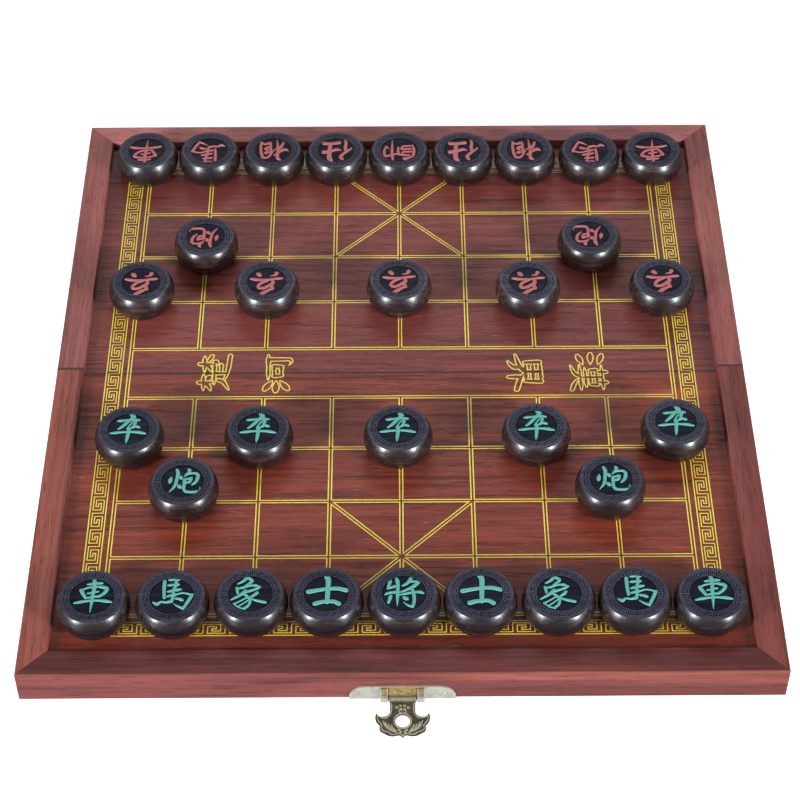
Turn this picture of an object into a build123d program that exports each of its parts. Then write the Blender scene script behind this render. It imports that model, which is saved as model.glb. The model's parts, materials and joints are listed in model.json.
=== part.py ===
"""A folding xiangqi (Chinese chess) box, lying open as a playing board with its 32 pieces set out.

Two shallow wooden trays are hinged along one edge. Open, they lie face up and their outer faces make
the board. Shut, the back tray swings under the front one, and the two hollows hold the pieces.

Sizes are millimetres. X runs along the seam between the trays, Y away from the front player, Z up.
Everything is drawn with the seam at y = 0 and the underside of the wood at z = 0, and is then moved
so that the origin is under the middle of the whole object's box.
"""

import os
from math import asin, degrees

from build123d import *

# Playing board
CELL = 40.0  # pitch of the grid, both ways
COLUMNS = 9
ROWS = 10
SIDE_MARGIN = 26.2  # outermost column to the inside of a side rail
END_MARGIN = 25.8  # outermost row to the inside of an end rail

# Each tray
TRAY_HEIGHT = 21.3
SIDE_RAIL_WIDTH = 15.6
END_RAIL_WIDTH = 15.7
HINGE_RAIL_WIDTH = 15.0
RIM_HEIGHT = 4.5  # rails above the playing surface
PANEL_THICKNESS = 4.0
GROOVE_DEPTH = 4.0  # how far the rails take in the panel's edges
PANEL_ROOM = 0.3  # left at the bottom of each groove for the wood to move
TENON_LENGTH = 5.0
TENON_WIDTH = 8.0
TENON_THICKNESS = 6.0
GLUE_GAP = 0.1
SEAM_GAP = 0.3  # between the open trays
SHUT_GAP = 0.2  # between the shut trays
ARRIS = 0.5  # chamfer on the long edges of the rails

# Butt hinges, let into the underside of the hinge rails
HINGE_OFFSET = 120.0  # middle of the board to the middle of each hinge
HINGE_LENGTH = 38.0
LEAF_WIDTH = 11.0  # pin to the leaf's far edge
LEAF_THICKNESS = 1.0
BARREL_RADIUS = 1.5
HINGE_PIN_RADIUS = 0.8
KNUCKLES = 3
KNUCKLE_GAP = 0.15
PIN_CLEARANCE = 0.05
BARREL_CLEARANCE = 0.3
LEAF_CLEARANCE = 0.1

# Countersunk screws that hold the hinges
SCREWS_PER_LEAF = 2
SCREW_PITCH = 24.0
SCREW_HEAD_RADIUS = 2.0
SCREW_HEAD_DEPTH = 0.9
SCREW_RADIUS = 1.0
SCREW_LENGTH = 8.5
SCREW_CLEARANCE = 0.05

# Latch on the front wall
LATCH_PLATE_LENGTH = 56.4
LATCH_PLATE_HEIGHT = 10.2
LATCH_PLATE_THICKNESS = 1.0
LATCH_PLATE_CORNER = 9.4
LATCH_BARREL_RADIUS = 1.6
LATCH_PIN_RADIUS = 0.8
STRAP_WIDTH = 4.0
STRAP_THICKNESS = 1.1
STRAP_ROUND = 0.5
STRAP_TOP = 0.3  # plate left showing over each strap
NECK_WIDTH = 14.2  # the hasp at its pin
STRAP_GAP = 0.6  # between the hasp's neck and each strap

# The hasp's leaf. DOWN is measured from the pin, with the hasp hanging
HASP_LENGTH = 22.9
HASP_THICKNESS = 0.9
HASP_SET_IN = 0.1  # how far the leaf's back lies inside the barrel's tangent
HASP_WAIST = 6.6  # half width of the neck
HASP_WAIST_DOWN = 5.9
HASP_BOWL = (9.2, 10.1)  # half width and down, at the low point between neck and horn
HASP_HORN = (13.7, 7.9)
HASP_SHOULDER = (14.3, 11.2)
HASP_CUSP = (11.7, 15.4)
HASP_LOBE = (12.0, 18.0)
HASP_LOBE_END = (9.9, 19.8)
HASP_HEM = (6.1, 21.6)
HASP_HEM_END = (2.1, 21.0)
HASP_TIP_ROOT = (0.9, 21.6)
HASP_HOLE_RADIUS = 3.9
HASP_HOLE_DOWN = 12.8

# Strike plate and staple on the rear wall, under the hasp's hole when the box is shut
STRIKE_LENGTH = 42.0
STRIKE_HEIGHT = 12.0
STRIKE_THICKNESS = 0.7
STRIKE_CORNER = 5.0
STAPLE_THICKNESS = 1.4  # square in section
STAPLE_SPAN = 4.8  # between the middles of the legs
STAPLE_REACH = 5.7  # strike plate to the outside of the bow
STAPLE_DEPTH = 5.0  # legs inside the wood
STAPLE_CLEARANCE = 0.05

# Nails that hold the latch plate and the strike plate
NAIL_RADIUS = 0.5
NAIL_LENGTH = 8.0
NAIL_HEAD_RADIUS = 1.1
NAIL_HEAD_HEIGHT = 0.5
NAIL_CLEARANCE = 0.05
LATCH_NAIL_INSET = 5.9  # from the end of the plate
LATCH_NAIL_DROP = 5.1  # from the top of the plate
STRIKE_NAIL_INSET = 3.4

# Screws and nails are drawn with flats in place of their round, and so are the holes that they stand in
FASTENER_FLATS = 12

# Turned playing pieces. Insets are less than the widest radius and heights are from the foot. The round
# is drawn with flats that lie within 0.25 mm of it, which keeps a set of 32 pieces light
PIECE_GAP = 0.6  # between pieces on neighbouring crossings
PIECE_HEIGHT = 18.6
PIECE_FLATS = 20
PIECE_FOOT_INSET = 4.3
PIECE_LOWER_INSET = 1.2
PIECE_LOWER_HEIGHT = 5.2
PIECE_WAIST_HEIGHT = 10.6  # where the piece is widest
PIECE_SHOULDER_INSET = 0.6
PIECE_SHOULDER_HEIGHT = 15.6
PIECE_RIM_INSET = 1.6

# Worked out from the sizes above
BOARD_HALF_WIDTH = (COLUMNS - 1) / 2 * CELL
BOARD_HALF_LENGTH = (ROWS - 1) / 2 * CELL
INNER_X = BOARD_HALF_WIDTH + SIDE_MARGIN
INNER_Y = BOARD_HALF_LENGTH + END_MARGIN
OUTER_X = INNER_X + SIDE_RAIL_WIDTH
OUTER_Y = INNER_Y + END_RAIL_WIDTH
SEAM_Y = SEAM_GAP / 2
BOARD_Z = TRAY_HEIGHT - RIM_HEIGHT
PANEL_Z = BOARD_Z - PANEL_THICKNESS
FOLD_Z = -SHUT_GAP / 2
FLOOR_Z = FOLD_Z - BARREL_RADIUS
LATCH_Y = -(OUTER_Y + LATCH_PLATE_THICKNESS + LATCH_BARREL_RADIUS)
LATCH_Z = LATCH_BARREL_RADIUS
HASP_BACK_Y = LATCH_Y + LATCH_BARREL_RADIUS - HASP_SET_IN
# The hasp lies out on the table, just far enough down for its tip to touch
HASP_TILT = degrees(asin((LATCH_Z - FLOOR_Z - LATCH_BARREL_RADIUS) / HASP_LENGTH))
# Shut, the rear wall hangs upside down under the front wall, turned about the fold line
STRIKE_Z = 2 * FOLD_Z - (LATCH_Z - HASP_HOLE_DOWN)
PIECE_RADIUS = (CELL - PIECE_GAP) / 2
STRAP_X = NECK_WIDTH / 2 + STRAP_GAP + STRAP_WIDTH / 2


def block(x, y, z):
    """A box between two values on each axis."""
    size = [abs(b - a) for a, b in (x, y, z)]
    middle = [(a + b) / 2 for a, b in (x, y, z)]
    return Pos(*middle) * Box(*size)


def rod(radius, x_from, x_to, y, z):
    """A round bar along X."""
    return Pos((x_from + x_to) / 2, y, z) * Rot(0, 90, 0) * Cylinder(radius, x_to - x_from)


def turned(stations, flats):
    """A turned solid, with flats in place of its round. Stations are radius and height, from the foot up."""
    turn = 360 / flats
    rings = [
        [Vector(radius, 0, height).rotate(Axis.Z, k * turn) for k in range(flats)]
        for radius, height in stations
    ]
    faces = [Face(Wire.make_polygon(ring)) for ring in (rings[0], rings[-1])]
    for low, high in zip(rings, rings[1:]):
        for k in range(flats):
            faces.append(Face(Wire.make_polygon([low[k - 1], low[k], high[k], high[k - 1]])))
    return Solid(Shell(faces))


# Where the fasteners go, so that each hole is cut from the same place as its fastener


def screw_places():
    """Middle of each screw head on the underside of the front tray's hinge rail."""
    y = -(LEAF_WIDTH + BARREL_RADIUS + BARREL_CLEARANCE) / 2
    first = -(SCREWS_PER_LEAF - 1) / 2 * SCREW_PITCH
    along = [first + i * SCREW_PITCH for i in range(SCREWS_PER_LEAF)]
    return [(side * HINGE_OFFSET + x, y) for side in (-1, 1) for x in along]


def latch_nail_places():
    x = LATCH_PLATE_LENGTH / 2 - LATCH_NAIL_INSET
    return [(-x, LATCH_PLATE_HEIGHT - LATCH_NAIL_DROP), (x, LATCH_PLATE_HEIGHT - LATCH_NAIL_DROP)]


def strike_nail_places():
    x = STRIKE_LENGTH / 2 - STRIKE_NAIL_INSET
    return [(-x, STRIKE_Z), (x, STRIKE_Z)]


def wall_holes(places, radius, depth):
    """Holes in the front wall, from its outer face inwards."""
    face = Plane.XZ.offset(OUTER_Y)
    hole = turned(((radius, -depth), (radius, 0)), FASTENER_FLATS)
    return [face * Pos(x, z, 0) * hole for x, z in places]


# Wood. The front tray is drawn, and the back tray is the same tray turned half round


def tray_rails():
    """The four rails of the front tray: a mitred end, two sides that run square to the seam, a hinge rail."""
    outer, inner = (OUTER_X, -OUTER_Y), (INNER_X, -INNER_Y)
    end_outline = Polyline((-outer[0], outer[1]), outer, inner, (-inner[0], inner[1]), close=True)
    end = extrude(make_face(end_outline), TRAY_HEIGHT)
    end = chamfer(end.edges().filter_by(Axis.X).sort_by(Axis.Z)[-2:], ARRIS)
    side_outline = Polyline(outer, (OUTER_X, -SEAM_Y), (INNER_X, -SEAM_Y), inner, close=True)
    side = extrude(make_face(side_outline), TRAY_HEIGHT)
    side = chamfer(side.edges().filter_by(Axis.Y).sort_by(Axis.Z)[-2:], ARRIS)

    groove = block(
        (-INNER_X - GROOVE_DEPTH, INNER_X + GROOVE_DEPTH), (-INNER_Y - GROOVE_DEPTH, 0), (PANEL_Z, BOARD_Z)
    )
    tenon_y = -(SEAM_Y + HINGE_RAIL_WIDTH) / 2
    tenons = Pos(0, tenon_y, PANEL_Z / 2) * Box(2 * (INNER_X + TENON_LENGTH), TENON_WIDTH, TENON_THICKNESS)
    mortises = Pos(0, tenon_y, PANEL_Z / 2) * Box(
        2 * (INNER_X + TENON_LENGTH + GLUE_GAP), TENON_WIDTH + 2 * GLUE_GAP, TENON_THICKNESS + 2 * GLUE_GAP
    )
    hinge = block((-INNER_X, INNER_X), (-HINGE_RAIL_WIDTH, -SEAM_Y), (0, PANEL_Z)) + tenons
    for side_sign in (-1, 1):
        middle = side_sign * HINGE_OFFSET
        half = HINGE_LENGTH / 2 + LEAF_CLEARANCE
        ends = (middle - half, middle + half)
        hinge -= block(ends, (-LEAF_WIDTH - LEAF_CLEARANCE, 0), (FOLD_Z, LEAF_THICKNESS))
        hinge -= rod(BARREL_RADIUS + BARREL_CLEARANCE, *ends, 0, FOLD_Z)
    hole_radius = SCREW_RADIUS + SCREW_CLEARANCE
    screw_hole = turned(((hole_radius, 0), (hole_radius, SCREW_LENGTH + SCREW_CLEARANCE)), FASTENER_FLATS)
    for x, y in screw_places():
        hinge -= Pos(x, y, 0) * screw_hole
    side -= groove + mortises
    end -= groove
    return end, mirror(side, Plane.YZ), side, hinge


def tray_panel():
    """The playing surface of the front tray, one board let into grooves on three sides."""
    reach = GROOVE_DEPTH - PANEL_ROOM
    return block((-INNER_X - reach, INNER_X + reach), (-INNER_Y - reach, -SEAM_Y), (PANEL_Z, BOARD_Z))


# Butt hinges


def hinge_leaf(middle, first_knuckle):
    """One leaf on the front side of the fold line, with every second knuckle from first_knuckle on."""
    pitch = HINGE_LENGTH / KNUCKLES
    left = middle - HINGE_LENGTH / 2
    clear = BARREL_RADIUS + BARREL_CLEARANCE
    leaf = block((left, left + HINGE_LENGTH), (-LEAF_WIDTH, -clear), (0, LEAF_THICKNESS))
    for k in range(first_knuckle, KNUCKLES, 2):
        low = left + k * pitch + (KNUCKLE_GAP / 2 if k > 0 else 0)
        high = left + (k + 1) * pitch - (KNUCKLE_GAP / 2 if k < KNUCKLES - 1 else 0)
        leaf += block((low, high), (-clear, 0), (0, LEAF_THICKNESS))
        leaf += rod(BARREL_RADIUS, low, high, 0, FOLD_Z)
    leaf -= rod(HINGE_PIN_RADIUS + PIN_CLEARANCE, left - 1, left + HINGE_LENGTH + 1, 0, FOLD_Z)
    neck = SCREW_RADIUS + SCREW_CLEARANCE
    countersink = turned(
        ((SCREW_HEAD_RADIUS + SCREW_CLEARANCE, 0), (neck, SCREW_HEAD_DEPTH), (neck, LEAF_THICKNESS)),
        FASTENER_FLATS,
    )
    for x, y in screw_places():
        if abs(x - middle) < HINGE_LENGTH / 2:
            leaf -= Pos(x, y, 0) * countersink
    return leaf


def screws():
    """Countersunk wood screws, heads level with the underside of the front leaves."""
    screw = turned(
        ((SCREW_HEAD_RADIUS, 0), (SCREW_RADIUS, SCREW_HEAD_DEPTH), (SCREW_RADIUS, SCREW_LENGTH)),
        FASTENER_FLATS,
    )
    return Compound([Pos(x, y, 0) * screw for x, y in screw_places()])


# Latch: a plate with two straps rolled round a pin, and the hasp that swings on the pin


def latch_plate():
    outline = Pos(0, LATCH_PLATE_HEIGHT / 2) * Rectangle(LATCH_PLATE_LENGTH, LATCH_PLATE_HEIGHT)
    outline = fillet(outline.vertices().sort_by(Axis.Y)[-2:], LATCH_PLATE_CORNER)
    plate = extrude(Plane.XZ.offset(OUTER_Y) * outline, LATCH_PLATE_THICKNESS)
    strap_y = -(OUTER_Y + LATCH_PLATE_THICKNESS)
    section = Rectangle(STRAP_WIDTH, STRAP_THICKNESS)
    section = fillet(section.vertices().sort_by(Axis.Y)[:2], STRAP_ROUND)
    strap = extrude(section, LATCH_PLATE_HEIGHT - STRAP_TOP - LATCH_Z)
    for x in (-STRAP_X, STRAP_X):
        plate += Pos(x, strap_y - STRAP_THICKNESS / 2, LATCH_Z) * strap
        plate += rod(LATCH_BARREL_RADIUS, x - STRAP_WIDTH / 2, x + STRAP_WIDTH / 2, LATCH_Y, LATCH_Z)
        plate += block((x - STRAP_WIDTH / 2, x + STRAP_WIDTH / 2), (strap_y, LATCH_Y), (0, LATCH_Z))
    plate -= rod(LATCH_PIN_RADIUS + PIN_CLEARANCE, -OUTER_X, OUTER_X, LATCH_Y, LATCH_Z)
    for hole in wall_holes(latch_nail_places(), NAIL_RADIUS + NAIL_CLEARANCE, 2 * NAIL_LENGTH):
        plate -= Pos(0, -NAIL_LENGTH, 0) * hole
    return plate


def hasp():
    """A thin leaf with a scalloped, horned outline and a round hole, on a rolled knuckle."""

    def at(point, side):
        return side * point[0], LATCH_Z - point[1]

    edges = []
    for side in (1, -1):
        waist = at((HASP_WAIST, HASP_WAIST_DOWN), side)
        edges += [
            Line(at((HASP_WAIST, 0), side), waist),
            ThreePointArc(waist, at(HASP_BOWL, side), at(HASP_HORN, side)),
            ThreePointArc(at(HASP_HORN, side), at(HASP_SHOULDER, side), at(HASP_CUSP, side)),
            ThreePointArc(at(HASP_CUSP, side), at(HASP_LOBE, side), at(HASP_LOBE_END, side)),
            ThreePointArc(at(HASP_LOBE_END, side), at(HASP_HEM, side), at(HASP_HEM_END, side)),
            ThreePointArc(at(HASP_HEM_END, side), at(HASP_TIP_ROOT, side), at((0, HASP_LENGTH), side)),
        ]
    edges.append(Line(at((HASP_WAIST, 0), 1), at((HASP_WAIST, 0), -1)))
    outline = make_face(edges)
    outline -= Pos(0, LATCH_Z - HASP_HOLE_DOWN) * Circle(HASP_HOLE_RADIUS)
    leaf = extrude(Plane.XZ.offset(-HASP_BACK_Y) * outline, HASP_THICKNESS)
    knuckle = rod(LATCH_BARREL_RADIUS, -NECK_WIDTH / 2, NECK_WIDTH / 2, LATCH_Y, LATCH_Z)
    hanging = leaf + knuckle
    hanging -= rod(LATCH_PIN_RADIUS + PIN_CLEARANCE, -OUTER_X, OUTER_X, LATCH_Y, LATCH_Z)
    return hanging.rotate(Axis((0, LATCH_Y, LATCH_Z), (1, 0, 0)), HASP_TILT - 90)


def latch_pin():
    end = STRAP_X + STRAP_WIDTH / 2
    return rod(LATCH_PIN_RADIUS, -end, end, LATCH_Y, LATCH_Z)


def nails(places, plate_thickness):
    """Nails through a plate on the front wall."""
    shank = ((NAIL_RADIUS, -NAIL_LENGTH), (NAIL_RADIUS, 0))
    head = ((NAIL_HEAD_RADIUS, 0), (NAIL_HEAD_RADIUS, NAIL_HEAD_HEIGHT))
    nail = turned(shank + head, FASTENER_FLATS)
    face = Plane.XZ.offset(OUTER_Y + plate_thickness)
    return Compound([face * Pos(x, z, 0) * nail for x, z in places])


# Strike plate and staple. They are drawn on the front wall and turned round to the rear wall


def strike_plate():
    outline = Pos(0, STRIKE_Z) * RectangleRounded(STRIKE_LENGTH, STRIKE_HEIGHT, STRIKE_CORNER)
    plate = extrude(Plane.XZ.offset(OUTER_Y) * outline, STRIKE_THICKNESS)
    for hole in wall_holes(strike_nail_places(), NAIL_RADIUS + NAIL_CLEARANCE, 2 * NAIL_LENGTH):
        plate -= Pos(0, -NAIL_LENGTH, 0) * hole
    return plate - staple_slots()


def staple_slots():
    """The two square holes that take the staple's legs, through the strike plate and into the wall."""
    width = STAPLE_THICKNESS + 2 * STAPLE_CLEARANCE
    depth = STAPLE_DEPTH + STAPLE_CLEARANCE
    y = -OUTER_Y + (depth - STRIKE_THICKNESS) / 2
    slot = Box(width, depth + STRIKE_THICKNESS, width)
    return [Pos(side * STAPLE_SPAN / 2, y, STRIKE_Z) * slot for side in (-1, 1)]


def staple():
    """A bent bar whose legs run through the plate into the wall and whose round bow stands out level."""
    outside, inside = (STAPLE_SPAN + STAPLE_THICKNESS) / 2, (STAPLE_SPAN - STAPLE_THICKNESS) / 2
    bow_y = -(OUTER_Y + STRIKE_THICKNESS + STAPLE_REACH - outside)
    straight = -(OUTER_Y - STAPLE_DEPTH) - bow_y
    outline = Circle(outside) + Pos(0, straight / 2) * Rectangle(2 * outside, straight)
    outline -= Circle(inside) + Pos(0, straight / 2) * Rectangle(2 * inside, straight)
    return Pos(0, bow_y, STRIKE_Z) * extrude(outline, STAPLE_THICKNESS / 2, both=True)


# Playing pieces


def playing_piece():
    """A turned disc that bulges from a narrow foot to its waist and rounds in to a flat top."""
    stations = (
        (PIECE_FOOT_INSET, 0),
        (PIECE_LOWER_INSET, PIECE_LOWER_HEIGHT),
        (0, PIECE_WAIST_HEIGHT),
        (PIECE_SHOULDER_INSET, PIECE_SHOULDER_HEIGHT),
        (PIECE_RIM_INSET, PIECE_HEIGHT),
    )
    return turned([(PIECE_RADIUS - inset, height) for inset, height in stations], PIECE_FLATS)


# One side's men by name: column, row from the player's own edge, and how far off its crossing each one
# was set down (to the right, away from the front player), first on the green side, then on the red side
MEN = {
    "chariot_left": (0, 0, (-3.5, -1.2), (-1.5, 1.2)),
    "horse_left": (1, 0, (-1.5, -1.0), (-1.5, 1.2)),
    "elephant_left": (2, 0, (0.0, 0.0), (-0.6, 0.8)),
    "advisor_left": (3, 0, (0.1, 0.0), (-0.2, 0.5)),
    "general": (4, 0, (1.1, -0.2), (0.3, 0.4)),
    "advisor_right": (5, 0, (1.5, 0.0), (0.5, 0.0)),
    "elephant_right": (6, 0, (3.0, -0.6), (0.8, 0.0)),
    "horse_right": (7, 0, (3.3, -0.3), (2.0, -0.4)),
    "chariot_right": (8, 0, (3.5, -1.2), (2.6, -0.4)),
    "cannon_left": (1, 2, (-0.8, -0.6), (0.8, -0.7)),
    "cannon_right": (7, 2, (-4.0, -0.4), (-2.8, -0.5)),
    "soldier_1": (0, 3, (6.3, -1.5), (4.1, -0.7)),
    "soldier_2": (2, 3, (-0.5, -1.3), (-0.3, -0.8)),
    "soldier_3": (4, 3, (-1.6, -1.4), (-0.5, 0.2)),
    "soldier_4": (6, 3, (-3.3, -0.4), (-2.6, -1.4)),
    "soldier_5": (8, 3, (-4.2, 2.4), (-1.5, -0.4)),
}


def set_out(nodes):
    """Puts every man on its crossing. Green has the near edge, red the far edge."""
    piece = playing_piece()
    for man, (column, row, green_off, red_off) in MEN.items():
        x = column * CELL - BOARD_HALF_WIDTH
        y = BOARD_HALF_LENGTH - row * CELL
        nodes[f"green_{man}"] = Pos(x + green_off[0], -y + green_off[1], BOARD_Z) * piece
        nodes[f"red_{man}"] = Pos(x + red_off[0], y + red_off[1], BOARD_Z) * piece


def build():
    nodes = {}
    end, left, right, hinge = tray_rails()
    latch_holes = wall_holes(latch_nail_places(), NAIL_RADIUS + NAIL_CLEARANCE, NAIL_LENGTH)
    strike_holes = wall_holes(strike_nail_places(), NAIL_RADIUS + NAIL_CLEARANCE, NAIL_LENGTH)
    strike_holes += staple_slots()
    nodes["front_end_rail"] = end - latch_holes
    nodes["front_left_rail"] = left
    nodes["front_right_rail"] = right
    nodes["front_hinge_rail"] = hinge
    nodes["front_board_panel"] = tray_panel()

    half_turn = Rot(0, 0, 180)
    nodes["back_end_rail"] = half_turn * (end - strike_holes)
    nodes["back_left_rail"] = half_turn * right
    nodes["back_right_rail"] = half_turn * left
    nodes["back_hinge_rail"] = half_turn * hinge
    nodes["back_board_panel"] = half_turn * tray_panel()

    for name, middle in (("left", -HINGE_OFFSET), ("right", HINGE_OFFSET)):
        half = HINGE_LENGTH / 2
        nodes[f"{name}_hinge_front_leaf"] = hinge_leaf(middle, 0)
        nodes[f"{name}_hinge_back_leaf"] = half_turn * hinge_leaf(-middle, 1)
        nodes[f"{name}_hinge_pin"] = rod(HINGE_PIN_RADIUS, middle - half, middle + half, 0, FOLD_Z)
    nodes["hinge_screws_front"] = screws()
    nodes["hinge_screws_back"] = half_turn * screws()

    nodes["latch_plate"] = latch_plate()
    nodes["latch_pin"] = latch_pin()
    nodes["latch_nails"] = nails(latch_nail_places(), LATCH_PLATE_THICKNESS)
    nodes["hasp"] = hasp()
    nodes["strike_plate"] = half_turn * strike_plate()
    nodes["strike_staple"] = half_turn * staple()
    nodes["strike_nails"] = half_turn * nails(strike_nail_places(), STRIKE_THICKNESS)

    set_out(nodes)
    return nodes


def main():
    nodes = build()
    whole = Compound(list(nodes.values())).bounding_box()
    shift = Pos(-(whole.min.X + whole.max.X) / 2, -(whole.min.Y + whole.max.Y) / 2, -whole.min.Z)
    os.makedirs("parts", exist_ok=True)
    for name, shape in nodes.items():
        export_step(shift * shape, f"parts/{name}.step")
    print(f"{len(nodes)} nodes, moved by {shift.position}")
    print(f"fold line y {shift.position.Y:.4f} z {shift.position.Z + FOLD_Z:.4f}")
    print(f"latch pin y {shift.position.Y + LATCH_Y:.4f} z {shift.position.Z + LATCH_Z:.4f}")
    print(f"hasp tilt {HASP_TILT:.4f} degrees")


main()
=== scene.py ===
"""A folding xiangqi box of rosewood, lying open as a playing board with its 32 men set out."""

import json
from math import cos, pi, radians, sin

import bmesh
import bpy
import numpy as np
from mathutils import Matrix, Vector


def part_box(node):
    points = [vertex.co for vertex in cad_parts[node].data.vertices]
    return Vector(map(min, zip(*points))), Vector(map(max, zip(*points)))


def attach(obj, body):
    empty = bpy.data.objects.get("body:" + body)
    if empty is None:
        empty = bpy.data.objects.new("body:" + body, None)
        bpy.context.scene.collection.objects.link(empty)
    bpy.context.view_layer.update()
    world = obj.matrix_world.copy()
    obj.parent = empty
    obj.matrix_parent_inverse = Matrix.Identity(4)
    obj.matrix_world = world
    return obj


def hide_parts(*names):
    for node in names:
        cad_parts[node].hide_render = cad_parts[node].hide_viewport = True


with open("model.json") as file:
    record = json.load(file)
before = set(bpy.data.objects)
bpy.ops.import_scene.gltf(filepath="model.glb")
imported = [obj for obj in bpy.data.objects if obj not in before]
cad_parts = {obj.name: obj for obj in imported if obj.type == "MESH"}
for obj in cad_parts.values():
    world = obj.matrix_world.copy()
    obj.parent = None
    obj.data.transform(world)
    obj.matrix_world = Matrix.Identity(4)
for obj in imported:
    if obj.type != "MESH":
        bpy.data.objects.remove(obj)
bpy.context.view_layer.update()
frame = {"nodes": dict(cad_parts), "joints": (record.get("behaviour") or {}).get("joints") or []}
scene = bpy.context.scene
scene.view_settings.view_transform = "Standard"
MM = 0.001


# Camera. A long lens looks down on the open board from over the green player's edge, almost square to the box
# but turned and rolled by a fraction of a degree.

camera_data = bpy.data.cameras.new("camera")
camera_data.lens = 98.81
camera_data.clip_start = 0.05
camera_data.clip_end = 30
camera = bpy.data.objects.new("camera", camera_data)
scene.collection.objects.link(camera)
camera_place = Matrix.Translation((-0.00247, -0.89151, 0.94940))
turn = Matrix.Rotation(radians(-0.1396), 4, "Z")
lean = Matrix.Rotation(radians(43.341), 4, "X")
roll = Matrix.Rotation(radians(-0.1954), 4, "Z")
camera.matrix_world = camera_place @ turn @ lean @ roll
scene.camera = camera


# Studio. A white table lit by a small softbox and a cool low strip at each front corner, a softbox at each
# side and a broad one behind. The strips put the glints on the men's shoulders. Table and world show white to
# the camera and darker in reflections, and the table keeps the box's shadow.


def add_node(tree, kind, inputs=(), **settings):
    """Adds a shader node. An input is a value, or another node's output that is linked to it."""
    new = tree.nodes.new("ShaderNode" + kind)
    for name, value in settings.items():
        setattr(new, name, value)
    for name, value in dict(inputs).items():
        if isinstance(value, bpy.types.NodeSocket):
            tree.links.new(value, new.inputs[name])
        else:
            new.inputs[name].default_value = value
    return new


def ranged(tree, value, low, high, to_low, to_high):
    """Carries a value from one range to another and holds it inside that."""
    return add_node(tree, "MapRange", {"Value": value, "From Min": low, "From Max": high, "To Min": to_low,
                                       "To Max": to_high}).outputs[0]


def brightness(tree, lit, mirrored, seen):
    """How bright a surrounding is on the rays that light the box, in reflections and to the camera."""
    path = add_node(tree, "LightPath")
    direct = ranged(tree, path.outputs["Is Camera Ray"], 0, 1, lit, seen)
    return add_node(tree, "Math", {0: path.outputs["Is Glossy Ray"], 1: mirrored - lit, 2: direct},
                    operation="MULTIPLY_ADD").outputs[0]


world = bpy.data.worlds.new("studio")
world.use_nodes = True
scene.world = world
background = world.node_tree.nodes["Background"]
background.inputs["Color"].default_value = (1, 1, 1, 1)
room = brightness(world.node_tree, lit=0.05, mirrored=0.13, seen=1.0)
world.node_tree.links.new(room, background.inputs["Strength"])


def softbox(name, place, width, height, watts, aim=(0, 0, 0.02), tint=(1, 1, 1)):
    """A lamp behind a cloth, pointed at the middle of the board unless it is aimed elsewhere."""
    lamp = bpy.data.lights.new(name, "AREA")
    lamp.shape = "RECTANGLE"
    lamp.size, lamp.size_y, lamp.energy = width, height, watts
    lamp.color = tint
    holder = bpy.data.objects.new(name, lamp)
    scene.collection.objects.link(holder)
    holder.location = place
    holder.rotation_euler = (Vector(aim) - Vector(place)).to_track_quat("-Z", "Y").to_euler()


for side in (-1, 1):
    softbox("front_softbox", (side * 1.36, -1.25, 0.80), 0.36, 0.60, watts=22)
    softbox("low_strip", (side * 1.30, -1.22, 0.27), 0.22, 0.46, watts=20, tint=(0.80, 0.91, 1.0))
    softbox("side_softbox", (side * 1.50, -0.30, 1.00), 0.60, 0.80, watts=6)
softbox("back_softbox", (0, 1.50, 1.50), 1.40, 0.80, watts=9, aim=(0, 0.10, 0))


def as_mesh(bm, name, *materials, sharp_from=None):
    """Turns a finished bmesh into a mesh. Its smooth faces meet in an edge where they turn by more than
    sharp_from degrees."""
    mesh = bpy.data.meshes.new(name)
    bm.to_mesh(mesh)
    bm.free()
    if sharp_from:
        mesh.set_sharp_from_angle(angle=radians(sharp_from))
    for material in materials:
        mesh.materials.append(material)
    return mesh


white_table = bpy.data.materials.new("white_table")
white_table.use_nodes = True
tree = white_table.node_tree
in_reflection = add_node(tree, "LightPath").outputs["Is Glossy Ray"]
shader = tree.nodes["Principled BSDF"]
tree.links.new(ranged(tree, in_reflection, 0, 1, 0.80, 0.16), shader.inputs["Base Color"])
shader.inputs["Roughness"].default_value = 1.0
shader.inputs["Specular IOR Level"].default_value = 0.0
shader.inputs["Emission Color"].default_value = (1, 1, 1, 1)
tree.links.new(brightness(tree, lit=0.8, mirrored=0.0, seen=0.8), shader.inputs["Emission Strength"])

bm = bmesh.new()
bmesh.ops.create_grid(bm, x_segments=1, y_segments=1, size=5)
floor = bpy.data.objects.new("table", as_mesh(bm, "table", white_table))
scene.collection.objects.link(floor)


# Rails. Rosewood bars, mitred at the outer corners, with the grain along each bar. The hinge rails under the
# seam are the same wood. They keep their shapes and are given their oiled finish here.


def colour(red, green, blue):
    """A colour from its screen values, 0 to 255."""
    levels = (red, green, blue)
    return tuple(((c / 255 + 0.055) / 1.055) ** 2.4 if c > 10 else c / 3294.6 for c in levels) + (1.0,)


def new_group(name, inputs, outputs):
    """An empty node group with named sockets. Returns the group, its input node and its output node."""
    group = bpy.data.node_groups.new(name, "ShaderNodeTree")
    for way, sockets in (("INPUT", inputs), ("OUTPUT", outputs)):
        for socket, kind in sockets.items():
            group.interface.new_socket(socket, in_out=way, socket_type="NodeSocket" + kind)
    return group, group.nodes.new("NodeGroupInput"), group.nodes.new("NodeGroupOutput")


def stretched_noise(tree, vector, along, across, detail, distortion=0.0):
    """Noise drawn out along X. Along and across are how many waves there are in a metre."""
    scaled = add_node(tree, "Mapping", {"Vector": vector, "Scale": (along, across, across)})
    noise = add_node(tree, "TexNoise", {"Vector": scaled.outputs[0], "Scale": 1.0, "Detail": detail,
                                        "Roughness": 0.6, "Distortion": distortion})
    return noise.outputs[0]


def stepped(tree, value, low, high):
    """0 where the value is under low, 1 over high, and smooth between."""
    return add_node(tree, "MapRange", {"Value": value, "From Min": low, "From Max": high},
                    interpolation_type="SMOOTHSTEP").outputs[0]


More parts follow.
